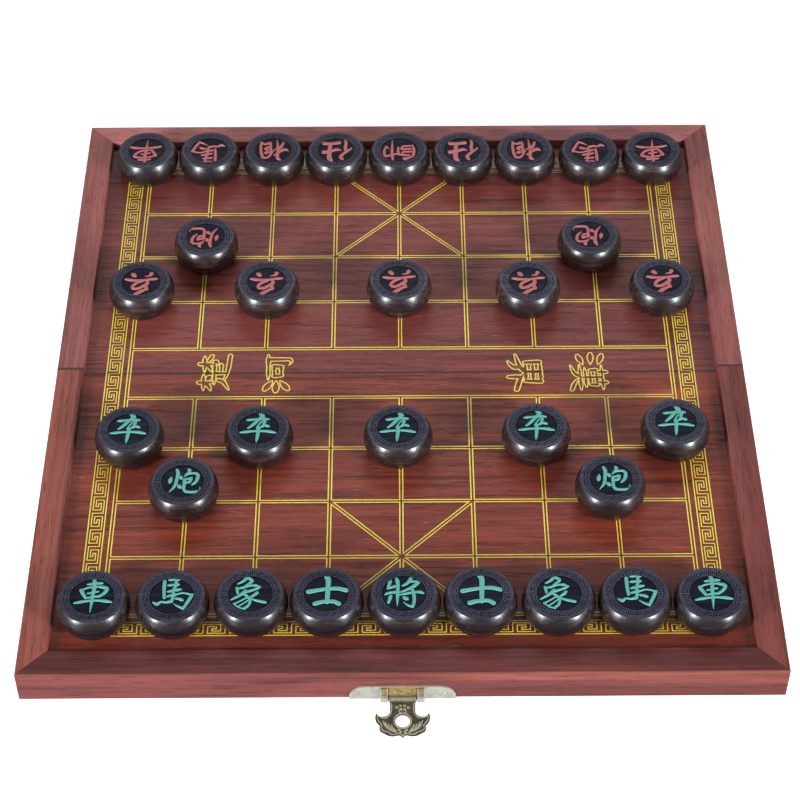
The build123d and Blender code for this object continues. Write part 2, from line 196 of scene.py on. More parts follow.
def mixed(tree, factor, first, second, blend="MIX"):
    """Goes from the first colour to the second, or to the two blended, as the factor goes from 0 to 1."""
    mix = tree.nodes.new("ShaderNodeMix")
    mix.data_type, mix.blend_type = "RGBA", blend
    for socket, value in ((0, factor), (6, first), (7, second)):
        if isinstance(value, bpy.types.NodeSocket):
            tree.links.new(value, mix.inputs[socket])
        else:
            mix.inputs[socket].default_value = value
    return mix.outputs[2]


def worked_out(tree, operation, first, second):
    """Two values multiplied, added or subtracted, by the operation's name."""
    return add_node(tree, "Math", {0: first, 1: second}, operation=operation).outputs[0]


def weighted(tree, first, second, share):
    """The first value, and a share of the second one."""
    return worked_out(tree, "ADD", first, worked_out(tree, "MULTIPLY", second, share))


# The figure of the wood, all along the vector's X: broad bands and fine streaks from the dark tone to the
# light one, a slow drift of the whole tone, short dark pores and a few pale handling marks
wood_figure, wood_in, wood_out = new_group(
    "wood_figure",
    {"Vector": "Vector", "Dark": "Color", "Middle": "Color", "Light": "Color", "Bands": "Float",
     "Marks": "Float", "Dullness": "Float"},
    {"Color": "Color", "Roughness": "Float", "Height": "Float"},
)
grain = wood_in.outputs["Vector"]
bands = stretched_noise(wood_figure, grain, 3.2, 46, 3.0, 0.7)
streaks = stretched_noise(wood_figure, grain, 11, 330, 4.0, 0.2)
fibres = stretched_noise(wood_figure, grain, 40, 1500, 2.0)
drift = stretched_noise(wood_figure, grain, 4, 17, 2.0)
pores = stepped(wood_figure, stretched_noise(wood_figure, grain, 75, 1250, 1.0), 0.60, 0.68)
handling = stepped(wood_figure, stretched_noise(wood_figure, grain, 130, 1500, 0.0), 0.765, 0.82)
streak_share = worked_out(wood_figure, "SUBTRACT", 1.0, wood_in.outputs["Bands"])
figure = worked_out(wood_figure, "ADD",
                    worked_out(wood_figure, "MULTIPLY", bands, wood_in.outputs["Bands"]),
                    worked_out(wood_figure, "MULTIPLY", streaks, streak_share))
tone = mixed(wood_figure, stepped(wood_figure, figure, 0.36, 0.50), wood_in.outputs["Dark"],
             wood_in.outputs["Middle"])
tone = mixed(wood_figure, stepped(wood_figure, figure, 0.50, 0.66), tone, wood_in.outputs["Light"])
tone = mixed(wood_figure, 1.0, tone, ranged(wood_figure, fibres, 0.3, 0.7, 0.86, 1.12), "MULTIPLY")
tone = mixed(wood_figure, 1.0, tone, ranged(wood_figure, drift, 0.35, 0.65, 0.80, 1.18), "MULTIPLY")
tone = mixed(wood_figure, worked_out(wood_figure, "MULTIPLY", pores, 0.42), tone, colour(40, 14, 14))
mark_share = worked_out(wood_figure, "MULTIPLY", handling, wood_in.outputs["Marks"])
tone = mixed(wood_figure, mark_share, tone, colour(214, 178, 160))
wood_figure.links.new(tone, wood_out.inputs["Color"])
# The streaks are rubbed smoother than the wood between them, and the pores are rough and sunk
rubbed = worked_out(wood_figure, "MULTIPLY", ranged(wood_figure, streaks, 0.3, 0.7, 1.15, 0.85),
                    wood_in.outputs["Dullness"])
wood_figure.links.new(weighted(wood_figure, rubbed, pores, 0.15), wood_out.inputs["Roughness"])
wood_figure.links.new(weighted(wood_figure, fibres, pores, -0.9), wood_out.inputs["Height"])


def wood(name, dark, middle, light, turned=0, shift=0.0, bands=0.6, marks=0.0, relief=0.25, sheen=0.3,
         dullness=0.43):
    """Oiled wood. The grain runs along X, or along Y when it is turned 90 degrees."""
    material = bpy.data.materials.new(name)
    material.use_nodes = True
    tree = material.node_tree
    place = add_node(tree, "TexCoord").outputs["Object"]
    vector = add_node(tree, "Mapping", {"Vector": place, "Rotation": (0, 0, radians(turned)),
                                        "Location": (shift, shift * 0.7, shift * 1.3)}).outputs[0]
    figure = tree.nodes.new("ShaderNodeGroup")
    figure.node_tree = wood_figure
    tree.links.new(vector, figure.inputs["Vector"])
    for socket, value in (("Dark", dark), ("Middle", middle), ("Light", light), ("Bands", bands),
                          ("Marks", marks), ("Dullness", dullness)):
        figure.inputs[socket].default_value = value
    bump = add_node(tree, "Bump", {"Height": figure.outputs["Height"], "Strength": relief,
                                   "Distance": 0.06 * MM})
    shader = tree.nodes["Principled BSDF"]
    shader.inputs["Specular IOR Level"].default_value = sheen
    tree.links.new(figure.outputs["Color"], shader.inputs["Base Color"])
    tree.links.new(figure.outputs["Roughness"], shader.inputs["Roughness"])
    tree.links.new(bump.outputs[0], shader.inputs["Normal"])
    return material


def finish_node(node, material):
    """Gives a part of the frame its material."""
    frame["nodes"][node].material_slots[0].material = material


# The side rails, each cut from another part of the plank and with tones of its own
for n, (rail, tones) in enumerate((
    ("front_left_rail", ((101, 52, 45), (140, 75, 64), (157, 90, 72))),
    ("front_right_rail", ((91, 43, 42), (128, 64, 59), (143, 76, 67))),
    ("back_left_rail", ((106, 56, 57), (147, 83, 79), (165, 98, 89))),
    ("back_right_rail", ((104, 53, 55), (144, 79, 76), (161, 93, 85))),
)):
    dark, middle, light = (colour(*tone) for tone in tones)
    finish_node(rail, wood(rail, dark, middle, light, turned=90, shift=0.31 * n, bands=0.5))

front_wood = wood("front_end_rail", colour(66, 29, 31), colour(92, 43, 42), colour(121, 59, 51), shift=1.7)
# The front rail's outer wall is painted paler than its top, a painted highlight for the low light from the
# front, with the change of tone at the wall's upper edge
tree = front_wood.node_tree
depth = add_node(tree, "SeparateXYZ", {"Vector": add_node(tree, "TexCoord").outputs["Object"]}).outputs["Y"]
wall_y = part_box("front_end_rail")[0].y
inside = stepped(tree, depth, wall_y + 0.1 * MM, wall_y + 0.4 * MM)
tint = mixed(tree, inside, (1.35, 1.53, 1.43, 1), (1, 1, 1, 1))
base_colour = tree.nodes["Principled BSDF"].inputs["Base Color"]
tree.links.new(mixed(tree, 1.0, base_colour.links[0].from_socket, tint, "MULTIPLY"), base_colour)
# The back rail has its own paler tone, painted paler still as a sheen from the light behind the box
back_rail_painted_sheen = wood("back_end_rail", colour(176, 104, 102), colour(194, 118, 116), colour(204, 126, 120),
                 shift=2.9)
hinge_rail_wood = wood("hinge_rail", colour(80, 38, 34), colour(112, 58, 50), colour(132, 74, 62), shift=3.7)
finish_node("front_end_rail", front_wood)
finish_node("back_end_rail", back_rail_painted_sheen)
finish_node("front_hinge_rail", hinge_rail_wood)
finish_node("back_hinge_rail", hinge_rail_wood)


# Playing panels. Two wide rosewood boards let into the rails, grain across the box, rubbed with oil and
# lightly scratched by play.

played = {"bands": 0.45, "marks": 0.16, "relief": 0.35}
front_panel_wood = wood("front_panel", colour(92, 40, 34), colour(131, 59, 46), colour(157, 69, 48),
                        shift=0.9, **played)
back_panel_wood = wood("back_panel", colour(88, 41, 42), colour(124, 60, 55), colour(139, 65, 57),
                       shift=2.1, **played)
finish_node("front_board_panel", front_panel_wood)
finish_node("back_board_panel", back_panel_wood)


# Gold lines. The board's grid is drawn in gold paint with a dark outline of painted shade, for the groove it
# lies in: every cell is a closed line of its own, so that two lines run side by side and the crossings stay
# open. A key border runs round it.

CELL = 40 * MM
LINE = 0.74 * MM
# the width of the dark outline of painted shade along each gold line
EDGE_SHADE = 0.26 * MM
GOLD_LIFT = 0.05 * MM
board_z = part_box("front_board_panel")[1].z
seam_y = (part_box("front_board_panel")[1].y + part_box("back_board_panel")[0].y) / 2

# A film that is a little uneven in tone, sheen and height
mottle, film_in, film_out = new_group(
    "mottle",
    {"Vector": "Vector", "Base": "Color", "Shade": "Color", "Waves": "Float"},
    {"Color": "Color", "Roughness": "Float", "Height": "Float"},
)
cloud = add_node(mottle, "TexNoise", {"Vector": film_in.outputs["Vector"], "Scale": film_in.outputs["Waves"],
                                      "Detail": 4.0, "Roughness": 0.65}).outputs[0]
tone = mixed(mottle, stepped(mottle, cloud, 0.42, 0.66), film_in.outputs["Base"], film_in.outputs["Shade"])
mottle.links.new(tone, film_out.inputs["Color"])
mottle.links.new(ranged(mottle, cloud, 0.3, 0.7, 0.30, 0.52), film_out.inputs["Roughness"])
mottle.links.new(cloud, film_out.inputs["Height"])


def coated(name, base, shade, waves, metallic=0.0, relief=0.15):
    """Paint or metal with a mottled surface, of so many waves in a metre."""
    material = bpy.data.materials.new(name)
    material.use_nodes = True
    tree = material.node_tree
    film = tree.nodes.new("ShaderNodeGroup")
    film.node_tree = mottle
    tree.links.new(add_node(tree, "TexCoord").outputs["Object"], film.inputs["Vector"])
    for socket, value in (("Base", base), ("Shade", shade), ("Waves", waves)):
        film.inputs[socket].default_value = value
    bump = add_node(tree, "Bump", {"Height": film.outputs["Height"], "Strength": relief,
                                   "Distance": 0.05 * MM})
    shader = tree.nodes["Principled BSDF"]
    shader.inputs["Metallic"].default_value = metallic
    tree.links.new(film.outputs["Color"], shader.inputs["Base Color"])
    tree.links.new(film.outputs["Roughness"], shader.inputs["Roughness"])
    tree.links.new(bump.outputs[0], shader.inputs["Normal"])
    return material


gold_paint = coated("gold_paint", colour(255, 228, 92), colour(255, 198, 62), 900)
# A dark film along the gold lines and the seam, painted shade for their grooves and the seam's gap
painted_edge_shade = coated("painted_edge_shade", colour(44, 11, 10), colour(30, 8, 8), 700)


def gild(bm, faces):
    """Leaves a dark outline of painted shade along the edge of flat faces, for the groove, and lifts the gold
    inside it.
    """
    rim = bmesh.ops.inset_region(bm, faces=faces, thickness=EDGE_SHADE, depth=GOLD_LIFT, use_boundary=True,
                                 use_even_offset=True)["faces"]
    for face in rim:
        face.material_index = 1


def closed_line(bm, corners, inset=0.0):
    """A line round a flat shape, with its middle that far inside the corners."""
    shape = bm.faces.new([bm.verts.new((x, y, 0)) for x, y in corners])
    shape.normal_update()
    if shape.normal.z < 0:
        shape.normal_flip()
    if inset:
        rim = bmesh.ops.inset_region(bm, faces=[shape], thickness=inset - LINE / 2 - EDGE_SHADE, use_boundary=True,
                                     use_even_offset=True)["faces"]
        bmesh.ops.delete(bm, geom=rim, context="FACES")
    line = bmesh.ops.inset_region(bm, faces=[shape], thickness=LINE + 2 * EDGE_SHADE, use_boundary=True,
                                  use_even_offset=True)["faces"]
    bmesh.ops.delete(bm, geom=[shape], context="FACES")
    gild(bm, line)


def oblong(half_x, half_y):
    """The corners of a rectangle, anticlockwise."""
    return [(-half_x, -half_y), (half_x, -half_y), (half_x, half_y), (-half_x, half_y)]


def outer_oblong(beyond):
    """The outer corners of a line round the grid, with its middle that far outside."""
    out = beyond + LINE / 2 + EDGE_SHADE
    return oblong(4 * CELL + out, 4.5 * CELL + out)


# One turn of the key, as corners on a lattice: columns from the outer edge in, rows along the run
KEY = ((4, 0), (0, 0), (0, 4), (3, 4), (3, 2), (2, 2), (2, 3), (1, 3), (1, 1), (4, 1), (4, 5))


def key_run(bm, key, turns, column, row, line, place):
    """Cuts a grid down to a run of a key pattern. Column and row are the lattice's steps, and place puts a
    point, given across and along the run, where it belongs."""
    kept = set()
    wide, long = key[0][0], key[-1][1]
    for turn in range(turns):
        for (c0, r0), (c1, r1) in zip(key, key[1:]):
            for c in range(2 * min(c0, c1), 2 * max(c0, c1) + 1):
                for r in range(2 * min(r0, r1), 2 * max(r0, r1) + 1):
                    kept.add((c, r + 2 * long * turn))
    columns, rows = 2 * wide + 1, 2 * long * turns + 1
    verts = bmesh.ops.create_grid(bm, x_segments=columns, y_segments=rows, size=1)["verts"]
    faces = list(dict.fromkeys(face for vert in verts for face in vert.link_faces))
    off = []
    for face in faces:
        middle = face.calc_center_median()
        square = (int((middle.x + 1) / 2 * columns), int((middle.y + 1) / 2 * rows))
        if square not in kept:
            off.append(face)
    for vert in verts:
        c, r = round((vert.co.x + 1) / 2 * columns), round((vert.co.y + 1) / 2 * rows)
        across = c // 2 * column + (c % 2 - 0.5) * line
        along = r // 2 * row + (r % 2 - 0.5) * line
        vert.co = place(across, along)
    bmesh.ops.delete(bm, geom=off, context="FACES")
    kept_faces = [face for face in faces if face.is_valid]
    for face in kept_faces:
        face.normal_update()
    bmesh.ops.reverse_faces(bm, faces=[face for face in kept_faces if face.normal.z < 0])
    return kept_faces


GRID_INSET = 0.88 * MM  # a cell's line, inside the crossings
BORDER_IN, BORDER_OUT = 4.4 * MM, 13.3 * MM  # middles of the border's two lines, beyond the grid
KEY_IN = 5.9 * MM  # middle of the key's innermost column, beyond the grid
KEY_STEP = 1.46 * MM  # from one of its columns to the next

bm = bmesh.new()
for column in range(-4, 4):
    for row in (-4.5, -3.5, -2.5, -1.5, 0.5, 1.5, 2.5, 3.5):
        x0, x1, y0, y1 = column * CELL, (column + 1) * CELL, row * CELL, (row + 1) * CELL
        if column in (-1, 0) and row in (-4.5, -3.5, 2.5, 3.5):
            # A palace cell is two triangles either side of its diagonal, which meets the palace's middle
            rises_to_right = (column == -1) == (row in (-4.5, 2.5))
            if rises_to_right:
                closed_line(bm, ((x0, y0), (x1, y0), (x1, y1)), GRID_INSET)
                closed_line(bm, ((x0, y0), (x1, y1), (x0, y1)), GRID_INSET)
            else:
                closed_line(bm, ((x0, y0), (x1, y0), (x0, y1)), GRID_INSET)
                closed_line(bm, ((x1, y0), (x1, y1), (x0, y1)), GRID_INSET)
        else:
            closed_line(bm, ((x0, y0), (x1, y0), (x1, y1), (x0, y1)), GRID_INSET)
closed_line(bm, oblong(4 * CELL, 0.5 * CELL), GRID_INSET)
closed_line(bm, outer_oblong(GRID_INSET))
closed_line(bm, outer_oblong(BORDER_IN))
closed_line(bm, outer_oblong(BORDER_OUT))

SIDE_TURNS, END_TURNS = 32, 28
outer_column_x = 4 * CELL + KEY_IN + 4 * KEY_STEP
outer_column_y = 4.5 * CELL + KEY_IN + 4 * KEY_STEP
end_run = 2 * (4 * CELL + KEY_IN - KEY_STEP)
side_row = 2 * outer_column_y / (KEY[-1][1] * SIDE_TURNS)
end_row = end_run / (KEY[-1][1] * END_TURNS)
key_line = 0.64 * MM + 2 * EDGE_SHADE


def beside_grid(across, along):
    """A point of the border's key on the grid's left or right."""
    return Vector((side * (outer_column_x - across), outer_column_y - along, 0))


def beyond_grid(across, along):
    """A point of the border's key before or behind the grid."""
    return Vector((end_run / 2 - along, side * (outer_column_y - across), 0))


for side in (-1, 1):
    gild(bm, key_run(bm, KEY, SIDE_TURNS, KEY_STEP, side_row, key_line, beside_grid))
    gild(bm, key_run(bm, KEY, END_TURNS, KEY_STEP, end_row, key_line, beyond_grid))


def add_piece(mesh, body):
    """Makes an object of a mesh that is already in its place, riding on a body of the frame."""
    piece = bpy.data.objects.new(mesh.name, mesh)
    scene.collection.objects.link(piece)
    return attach(piece, body)


def split_at_seam(bm, name, materials):
    """Moves a drawing onto the board and cuts it in two at the seam, one half for each tray."""
    bmesh.ops.translate(bm, verts=bm.verts, vec=(0, seam_y, board_z + 0.01 * MM))
    for body, edge, keep in (("front_tray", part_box("front_board_panel")[1].y, "clear_outer"),
                             ("back_tray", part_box("back_board_panel")[0].y, "clear_inner")):
        half = bm.copy()
        geometry = half.verts[:] + half.edges[:] + half.faces[:]
        bmesh.ops.bisect_plane(half, geom=geometry, plane_co=(0, edge, 0), plane_no=(0, 1, 0),
                               **{keep: True})
        add_piece(as_mesh(half, f"{body}_{name}", *materials), body)
    bm.free()


split_at_seam(bm, "gold_lines", (gold_paint, painted_edge_shade))


# River legend. Four hollow characters in the river name its two banks, as on every such board. They are gold
# outlines of brush strokes edged with painted shade, read from left and right, and the seam crosses them.

# Half widths along a brush stroke, from where the brush lands to where it lifts
BRUSH = {
    "across": (0.40, 0.88, 0.72, 0.74, 1.08, 0.50),
    "beam": (0.45, 0.98, 0.70, 0.66, 0.74, 1.10, 0.55),
    "bar": (1.00, 0.86, 0.78, 0.86, 0.95),
    "slab": (1.25, 1.15, 1.12, 1.25),
    "post": (1.40, 1.50, 1.36, 1.30),
    "thin": (0.45, 0.52, 0.50, 0.60),
    "wave": (0.50, 1.10, 0.52, 0.65, 0.90),
    "flare": (0.20, 1.05, 1.00, 1.25, 1.50),
    "wedge": (0.20, 1.25, 1.10, 0.90, 0.70),
    "down": (1.00, 1.06, 0.98, 0.95, 0.80),
    "pin": (0.80, 1.25, 1.08, 1.05, 0.86, 0.20),
    "left": (0.90, 1.16, 0.96, 0.80, 0.50),
    "right": (0.45, 0.75, 1.00, 0.95),
    "dot": (0.15, 0.78, 1.20, 1.28, 0.70),
    "petal": (0.40, 0.92, 1.28, 1.34, 0.90),
    "comma": (1.20, 0.85, 0.40, 0.12),
    "hook": (0.90, 0.60, 0.12),
    "bend": (0.95, 0.90, 0.90, 0.95),
}


def brush_path(kind, points, weight, width, height):
    """Samples of a stroke as x, y and half width, smooth through its points, centred on the character."""
    points = [Vector(((x / 100 - 0.5) * width, (y / 100 - 0.5) * height)) for x, y in points]
    if len(points) == 2:
        samples = [points[0].lerp(points[1], t / 4) for t in range(5)]
    else:
        ends = [2 * points[0] - points[1]] + points + [2 * points[-1] - points[-2]]
        samples = []
        for a, b, c, d in zip(ends, ends[1:], ends[2:], ends[3:]):
            for t in (0, 0.25, 0.5, 0.75):
                samples.append(0.5 * (2 * b + (c - a) * t + (2 * a - 5 * b + 4 * c - d) * t ** 2
                                      + (3 * b - a - 3 * c + d) * t ** 3))
        samples.append(points[-1])
    profile = BRUSH[kind]
    stops = np.linspace(0, 1, len(profile))
    return [(p.x, p.y, weight * float(np.interp(t, stops, profile)))
            for p, t in zip(samples, np.linspace(0, 1, len(samples)))]


def brushed(paths, width, height, step, lift, ease=0.0, line=None, spread=0.0, within=None):
    """A raised film in the outline of brush strokes. A fine grid is cut to the outline, its edge is drawn
    onto it and rounded by ease, and walls are dropped. With a line width, only a line along the edge is
    kept. Spread widens the film, and within is a radius that it stays inside."""

    def outside(x, y):
        """How far points lie outside the film."""
        least = np.full(x.shape, 1.0)
        for path in paths:
            for (x0, y0, w0), (x1, y1, w1) in zip(path, path[1:]):
                dx, dy = x1 - x0, y1 - y0
                t = np.clip(((x - x0) * dx + (y - y0) * dy) / (dx * dx + dy * dy), 0, 1)
                least = np.minimum(least, np.hypot(x - x0 - t * dx, y - y0 - t * dy) - w0 - (w1 - w0) * t)
        if within:
            least = np.maximum(least, np.hypot(x, y) - within)
        if line:
            least = np.abs(least + line / 2) - line / 2
        return least - spread

    bm = bmesh.new()
    bmesh.ops.create_grid(bm, x_segments=round(width / step), y_segments=round(height / step),
                          size=0.5)
    bmesh.ops.scale(bm, verts=bm.verts, vec=(width, height, 1))
    middles = np.array([face.calc_center_median()[:2] for face in bm.faces])
    far = outside(middles[:, 0], middles[:, 1]) > 0
    bmesh.ops.delete(bm, geom=[face for face, off in zip(bm.faces[:], far) if off], context="FACES")
    edge = [vert for vert in bm.verts if vert.is_boundary]
    for _ in range(2):
        x, y = np.array([vert.co[:2] for vert in edge]).T
        reach = step / 50
        off = outside(x, y)
        slope_x = (outside(x + reach, y) - outside(x - reach, y)) / (2 * reach)
        slope_y = (outside(x, y + reach) - outside(x, y - reach)) / (2 * reach)
        steep = np.maximum(slope_x ** 2 + slope_y ** 2, 0.25)
        for vert, dx, dy in zip(edge, off * slope_x / steep, off * slope_y / steep):
            vert.co.x -= max(-step, min(step, dx))
            vert.co.y -= max(-step, min(step, dy))
    x, y = np.array([vert.co[:2] for vert in bm.verts]).T
    inside = np.clip(-outside(x, y) / ease, 0, 1) if ease else np.ones(x.shape)
    for vert, share in zip(bm.verts, inside):
        vert.co.z = lift - ease * (1 - share) ** 2
    rim = [edge for edge in bm.edges if edge.is_boundary]
    foot = bmesh.ops.extrude_edge_only(bm, edges=rim)["geom"]
    for vert in foot:
        if isinstance(vert, bmesh.types.BMVert):
            vert.co.z = 0
    return bm


LEGEND_LINE = 0.78 * MM
LEGEND_WIDE = 30.2 * MM
LEGEND_STEP = 0.28 * MM
SEAM_SHADE = 0.9 * MM  # half the width of the painted shade along the seam
chu = (
    ("across", (4, 84), (46, 86)), ("down", (25, 100), (25, 58)), ("left", (24, 82), (16, 68), (4, 60)),
    ("dot", (28, 76), (42, 64)), ("across", (54, 84), (96, 86)), ("down", (75, 100), (75, 58)),
    ("left", (74, 82), (66, 68), (56, 62)), ("right", (78, 80), (86, 70), (97, 62)),
    ("across", (20, 50), (82, 52)), ("left", (82, 52), (80, 46), (74, 40)), ("down", (50, 50), (50, 10)),
    ("across", (52, 29), (76, 30)), ("left", (32, 38), (26, 20), (6, 2)),
    ("right", (26, 20), (56, 8), (98, 2)),
)
he = (
    ("petal", (28, 73), (5, 100)), ("petal", (28, 58), (0, 59)), ("petal", (28, 43), (6, 14)),
    ("across", (32, 88), (99, 91)), ("down", (42, 66), (43, 38)), ("across", (42, 66), (68, 68)),
    ("down", (68, 68), (67, 38)), ("across", (43, 40), (67, 41)), ("down", (87, 90), (87, 10)),
    ("hook", (87, 10), (80, 4), (70, 14)),
)
jie = (
    ("down", (24, 96), (25, 52)), ("across", (24, 97), (76, 98)), ("down", (76, 98), (75, 52)),
    ("across", (25, 75), (75, 76)), ("down", (50, 97), (50, 54)), ("across", (25, 53), (75, 54)),
    ("left", (50, 52), (34, 36), (3, 24)), ("right", (52, 50), (70, 36), (98, 24)),
    ("left", (38, 34), (36, 16), (22, 1)), ("down", (64, 34), (64, 2)),
)
han = (
    ("petal", (31, 80), (5, 92)), ("petal", (30, 58), (2, 60)), ("petal", (31, 36), (7, 22)),
    ("across", (34, 88), (98, 90)), ("down", (52, 100), (52, 78)), ("down", (80, 100), (80, 78)),
    ("down", (46, 72), (47, 54)), ("across", (46, 72), (86, 74)), ("down", (86, 74), (85, 54)),
    ("across", (47, 54), (85, 55)), ("across", (40, 40), (92, 42)), ("across", (32, 25), (99, 27)),
    ("down", (66, 84), (66, 28)), ("left", (64, 26), (54, 10), (34, 0)),
    ("right", (68, 24), (80, 10), (99, 0)),
)
legend = bmesh.new()
# A wider dark film under the gold strokes, painted shade along their edges, which also takes the seam's shade
legend_edge_shade = bmesh.new()
# Each character's brush weight, its place along the river, its turn and its height
for strokes, weight, x, turn, tall in ((chu, 1.70, -109.5, 90, 18.0), (he, 1.80, -71.8, 90, 15.8),
                                       (jie, 1.95, 73.2, -90, 19.6), (han, 1.62, 110.8, -90, 20.6)):
    tall = tall * MM
    paths = [brush_path(kind, points, weight * MM, LEGEND_WIDE, tall) for kind, *points in strokes]
    place = Matrix.Translation((x * MM, 0, 0)) @ Matrix.Rotation(radians(turn), 4, "Z")
    for drawing, lift, beyond in ((legend, GOLD_LIFT, 0.0), (legend_edge_shade, GOLD_LIFT / 3, EDGE_SHADE)):
        character = brushed(paths, LEGEND_WIDE + 5 * MM, tall + 5 * MM, LEGEND_STEP, lift,
                            line=LEGEND_LINE, spread=beyond)
        character.transform(place)
        loose = as_mesh(character, "character")
        drawing.from_mesh(loose)
        bpy.data.meshes.remove(loose)
# The edges at the seam are darkened with painted shade for the gap between the trays, on the panels and on
# the rails
rail_low, rail_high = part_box("front_right_rail")
rail_top = rail_high.z - board_z
for x0, x1, z in ((-rail_low.x, rail_low.x, 0.002 * MM), (rail_low.x, rail_high.x, rail_top),
                  (-rail_high.x, -rail_low.x, rail_top)):
    corners = (x0, -SEAM_SHADE), (x1, -SEAM_SHADE), (x1, SEAM_SHADE), (x0, SEAM_SHADE)
    legend_edge_shade.faces.new([legend_edge_shade.verts.new((x, y, z)) for x, y in corners])
split_at_seam(legend, "legend", (gold_paint,))
split_at_seam(legend_edge_shade, "legend_edge_shade", (painted_edge_shade,))


# Men. Each is turned from ebony-dark wood with a glossy round shoulder, a flat rim, a ring of raised key
# pattern and a sunk disc; rim and key are dark wood painted slate-blue as a sheen. The man's character stands
# up from the disc and is painted green or red.

MAN_HEIGHT = 18.6 * MM
DISC = 11.8 * MM
DISC_DEPTH = 0.62 * MM
RING_DEPTH = 0.30 * MM
RIM = 17.5 * MM
# Radius and height in millimetres, from the middle of the foot round the side to the middle of the disc
MAN_PROFILE = (
    (0, 0.35), (12.8, 0.35), (13.4, 0), (14.2, 0), (14.8, 0.30), (16.2, 1.75), (17.5, 3.55), (18.45, 5.4),
    (19.1, 7.2), (19.52, 9.1), (19.67, 10.6), (19.67, 11.6), (19.60, 12.8), (19.40, 14.0), (19.06, 15.3),
    (18.58, 16.55), (18.07, 17.55), (17.68, 18.2), (17.47, 18.48), (17.2, 18.6), (16.6, 18.6),
    (15.8, 18.6), (15.7, 18.3), (13.8, 18.3), (12.12, 18.3), (12.05, 18.56), (11.88, 18.56), (11.8, 18.5),
    (11.75, 17.98), (7.0, 17.98), (3.0, 17.98), (0, 17.98),
)

ebony_side = wood("ebony_side", colour(13, 10, 14), colour(28, 21, 23), colour(70, 49, 42), bands=0.3,
                  relief=0.0, sheen=1.0, dullness=0.29)
# The rim is dark wood painted slate-blue, a painted sheen of the room on its flat top
ebony_rim_painted_sheen = wood("ebony_rim_painted_sheen", colour(38, 38, 56), colour(50, 47, 66), colour(68, 60, 70), bands=0.5,
                 relief=0.1, sheen=0.35, dullness=0.38)
ebony_disc = wood("ebony_disc", colour(8, 12, 24), colour(14, 19, 34), colour(26, 30, 46), bands=0.2,
                  relief=0.6, sheen=0.12)
ring_floor = wood("ring_floor", colour(3, 3, 5), colour(6, 6, 10), colour(12, 12, 18), bands=0.2, sheen=0.05)
# The key's relief is painted slate-blue too, the same painted sheen
key_relief_painted_sheen = wood("key_relief_painted_sheen", colour(54, 55, 72), colour(67, 67, 85), colour(80, 78, 96), bands=0.5,
                  relief=0.1)
green_paint = coated("green_paint", colour(96, 176, 166), colour(84, 160, 150), 1400)
red_paint = coated("red_paint", colour(188, 104, 106), colour(172, 88, 90), 1400)

bm = bmesh.new()
profile = [bm.verts.new((radius * MM, 0, height * MM)) for radius, height in MAN_PROFILE]
profile_edges = [bm.edges.new(pair) for pair in zip(profile, profile[1:])]
bmesh.ops.spin(bm, geom=profile + profile_edges, cent=(0, 0, 0), axis=(0, 0, 1), angle=2 * pi, steps=96,
               use_merge=True)
bmesh.ops.remove_doubles(bm, verts=bm.verts, dist=1e-6)
bmesh.ops.recalc_face_normals(bm, faces=bm.faces)
for face in bm.faces:
    face.smooth = True
    middle = face.calc_center_median()
    out = Vector(middle[:2]).length
    if DISC < out < RIM and middle.z > MAN_HEIGHT - 0.4 * MM:
        face.material_index = 1 if middle.z > MAN_HEIGHT - 0.1 * MM else 3
    elif out < DISC and middle.z > MAN_HEIGHT / 2:
        face.material_index = 2
turned_man = as_mesh(bm, "turned_man", ebony_side, ebony_rim_painted_sheen, ebony_disc, ring_floor, sharp_from=38)

RING_KEY = ((3, 0), (0, 0), (0, 3), (2, 3), (2, 2), (1, 2), (1, 1), (3, 1), (3, 4))
RING_TURNS = 20
RING_STEP = 1.00 * MM
RING_LINE = 0.40 * MM
RING_OUT = 15.40 * MM  # middle of the key's outermost circle


def round_the_ring(across, along):
    """Bends a run of the key pattern round the man's top."""
    angle = along / (RING_TURNS * RING_KEY[-1][1] * RING_STEP) * 2 * pi
    radius = RING_OUT - across
    return Vector((radius * cos(angle), radius * sin(angle), MAN_HEIGHT - RING_DEPTH))


bm = bmesh.new()
key_run(bm, RING_KEY, RING_TURNS, RING_STEP, RING_STEP, RING_LINE, round_the_ring)
bmesh.ops.remove_doubles(bm, verts=bm.verts, dist=0.01 * MM)
raised = bmesh.ops.extrude_face_region(bm, geom=bm.faces[:])["geom"]
for vert in raised:
    if isinstance(vert, bmesh.types.BMVert):
        vert.co.z = MAN_HEIGHT - 0.02 * MM
bmesh.ops.recalc_face_normals(bm, faces=bm.faces)
bmesh.ops.delete(bm, geom=[face for face in bm.faces if face.normal.z < -0.5], context="FACES_ONLY")
key_ring = as_mesh(bm, "key_ring", key_relief_painted_sheen)

